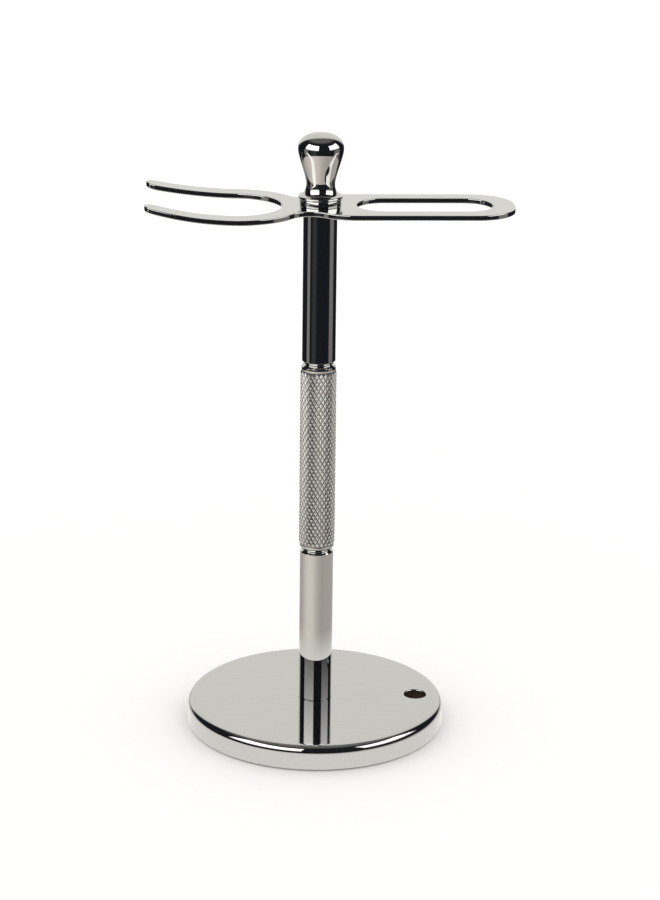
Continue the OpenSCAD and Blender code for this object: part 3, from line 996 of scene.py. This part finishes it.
def layered(below, mask, colour, strength):
    """Lays a colour over what is below it, where the mask says."""
    lit = (*(c * strength for c in colour), 1)
    mix = add_node(room, "ShaderNodeMix", data_type="RGBA", clamp_result=False, in_B=lit)
    if isinstance(below, bpy.types.NodeSocket):
        room.links.new(below, mix.inputs["A"])
    else:
        mix.inputs["A"].default_value = (*below, 1)
    room.links.new(mask, mix.inputs["Factor"])
    return mix.outputs["Result"]


def backdrop_mask(tilt, spread, soft):
    """A round patch of the room behind the stand, tilted up, with its half-width in degrees."""
    up_back = math_node(room, "ADD", math_node(room, "MULTIPLY", to_back, math.cos(math.radians(tilt))),
                        math_node(room, "MULTIPLY", to_top, math.sin(math.radians(tilt))))
    return between(math_node(room, "ARCSINE", up_back), 90 - spread, open_end, soft)


# %% World: the room as the mirrors see it
dark_room, neutral, bluish = (0.014, 0.016, 0.020), (1, 1, 1), (0.85, 0.93, 1.0)
ceiling_tone, backdrop_tone, side_tone = (1.0, 0.985, 0.96), (1.0, 0.985, 0.95), (1.0, 0.98, 0.95)
above_table = between(elevation, 0, open_end, 3)
backdrop = math_node(room, "MULTIPLY", backdrop_mask(24, 40, 5), above_table)
sky = layered(dark_room, backdrop_mask(76, 32, 12), ceiling_tone, 0.18)
sky = layered(sky, backdrop, backdrop_tone, 0.95)
for azimuths, elevations, soft, tone, strength in (
    ((-200, -155), (-60, 0), 4, neutral, 0.9),
    ((155, 200), (-60, 0), 4, neutral, 0.9),
    ((-92, -70), (-40, 0), 3, side_tone, 0.30),
    ((-52, -24), (-60, 0), 8, bluish, 0.056),
    ((68, 102), (-40, 0), 3, side_tone, 0.25),
):
    sky = layered(sky, panel(azimuths, elevations, soft), tone, strength)
print("room drawn with", len(room.nodes), "nodes")

# %% World: which ray sees what
path = add_node(room, "ShaderNodeLightPath")
plain = add_node(room, "ShaderNodeBackground", in_Color=(1, 1, 1, 1), in_Strength=1.12)
mirrored = add_node(room, "ShaderNodeBackground", in_Strength=1.0)
room.links.new(sky, mirrored.inputs["Color"])
to_mirror = add_node(room, "ShaderNodeMixShader")
room.links.new(path.outputs["Is Glossy Ray"], to_mirror.inputs[0])
room.links.new(plain.outputs[0], to_mirror.inputs[1])
room.links.new(mirrored.outputs[0], to_mirror.inputs[2])
output = add_node(room, "ShaderNodeOutputWorld")
room.links.new(to_mirror.outputs[0], output.inputs["Surface"])
print("the world sends mirrors to the room and all else to plain light")

# %% [markdown]
# ## The camera
#
# Small metalware is shown with a long lens from well back, a little from above, so that the column doesn't seem to
# taper. The camera stands 0.69 m in front of the column and looks down 18 degrees. It is built from the three
# directions of a real camera: where it looks, its right-hand side and its top.

# %% Camera
def camera_view(distance, height, around, down, aside, roll, focal_widths):
    """A camera on a circle round the stand, with angles in degrees and the focal length in picture widths."""
    around, down, aside, roll = (math.radians(a) for a in (around, down, aside, roll))
    look = Vector((math.sin(aside) * math.cos(down), math.cos(aside) * math.cos(down), -math.sin(down)))
    right = Vector((math.cos(aside), -math.sin(aside), 0))
    top = right.cross(look)
    right, top = (math.cos(roll) * right + math.sin(roll) * top, math.cos(roll) * top - math.sin(roll) * right)
    turn = Matrix.Rotation(-around, 3, "Z")
    axes = Matrix((turn @ right, turn @ top, turn @ -look)).transposed().to_4x4()
    optics = bpy.data.cameras.new("camera")
    optics.sensor_fit, optics.sensor_width = "HORIZONTAL", 36
    optics.lens = optics.sensor_width * focal_widths
    optics.clip_start = 0.01
    camera = bpy.data.objects.new("camera", optics)
    camera.matrix_world = Matrix.Translation(turn @ Vector((0, -distance, height))) @ axes
    bpy.context.scene.collection.objects.link(camera)
    bpy.context.scene.camera = camera
    return camera


camera = camera_view(distance=0.6901, height=0.3054, around=2.6, down=18.24, aside=0.273, roll=0.72,
                     focal_widths=4.1186)
bpy.context.scene.view_settings.view_transform = "Standard"
print("lens:", round(camera.data.lens, 1), "mm")
